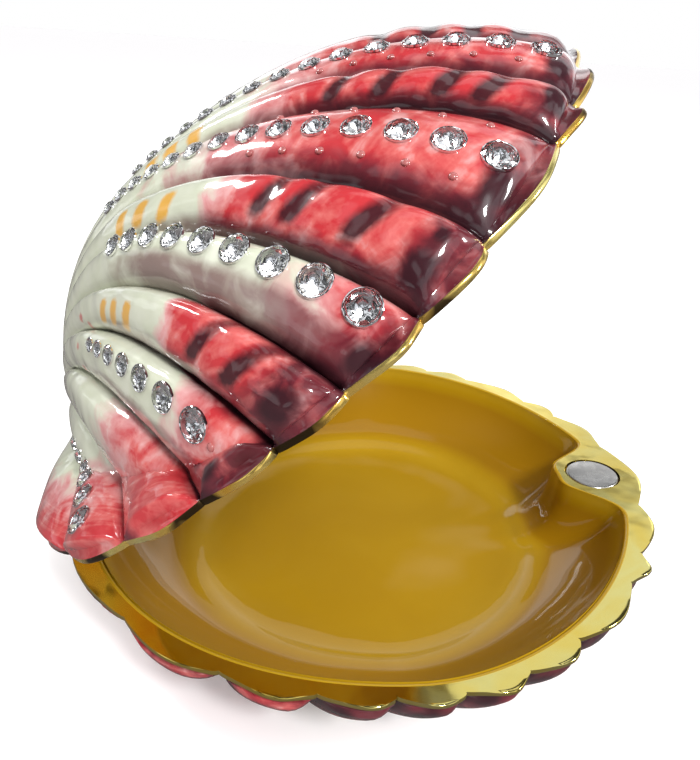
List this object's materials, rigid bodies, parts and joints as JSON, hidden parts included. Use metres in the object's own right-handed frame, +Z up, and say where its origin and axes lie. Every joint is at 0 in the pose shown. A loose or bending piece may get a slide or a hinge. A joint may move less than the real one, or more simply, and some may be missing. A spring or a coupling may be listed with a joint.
{
  "type": "shell box",
  "caption": "Hinged scallop-shell trinket box of enamelled and gilt metal, with rows of crystals on the ribs of the lid and a magnetic catch at the front",
  "frame": {"origin": "centre of the flat underside, straight under the middle of the rim's width", "axes": "+Z up, -Y towards the front where the box opens, hinge axis along X at the back"},
  "size_m": [0.0646, 0.0641, 0.0538],
  "materials": {
    "enamel": "gloss enamel, cream to crimson to plum on the outside and ochre inside",
    "gilt": "polished gilding with worn dark spots",
    "crystal": "clear cut crystal in silver-grey settings",
    "magnet": "dull grey plating"
  },
  "bodies": {
    "base": {"base_shell": "enamel", "base_magnet": "magnet", "hinge_pin": "gilt"},
    "lid": {"lid_shell": "enamel", "lid_magnet": "magnet", "crystal_left_1_1": "crystal", "crystal_left_1_2": "crystal", "crystal_left_1_3": "crystal", "crystal_left_1_4": "crystal", "crystal_left_1_5": "crystal", "crystal_left_2_1": "crystal", "crystal_left_2_2": "crystal", "crystal_left_2_3": "crystal", "crystal_left_2_4": "crystal", "crystal_left_2_5": "crystal", "crystal_left_3_1": "crystal", "crystal_left_3_2": "crystal", "crystal_left_3_3": "crystal", "crystal_left_3_4": "crystal", "crystal_left_3_5": "crystal", "crystal_left_4_1": "crystal", "crystal_left_4_2": "crystal", "crystal_left_4_3": "crystal", "crystal_left_4_4": "crystal", "crystal_left_4_5": "crystal", "crystal_left_5_1": "crystal", "crystal_left_5_2": "crystal", "crystal_left_5_3": "crystal", "crystal_left_5_4": "crystal", "crystal_left_5_5": "crystal", "crystal_right_1_1": "crystal", "crystal_right_1_2": "crystal", "crystal_right_1_3": "crystal", "crystal_right_1_4": "crystal", "crystal_right_1_5": "crystal", "crystal_right_2_1": "crystal", "crystal_right_2_2": "crystal", "crystal_right_2_3": "crystal", "crystal_right_2_4": "crystal", "crystal_right_2_5": "crystal", "crystal_right_3_1": "crystal", "crystal_right_3_2": "crystal", "crystal_right_3_3": "crystal", "crystal_right_3_4": "crystal", "crystal_right_3_5": "crystal", "crystal_right_4_1": "crystal", "crystal_right_4_2": "crystal", "crystal_right_4_3": "crystal", "crystal_right_4_4": "crystal", "crystal_right_4_5": "crystal", "crystal_right_5_1": "crystal", "crystal_right_5_2": "crystal", "crystal_right_5_3": "crystal", "crystal_right_5_4": "crystal", "crystal_right_5_5": "crystal"}
  },
  "joints": [
    {"name": "lid_hinge", "type": "hinge", "parent": "base", "child": "lid", "pos_m": [0, 0.0332, 0.0106], "axis": [-1, 0, 0], "range_deg": [-41, 49]}
  ]
}
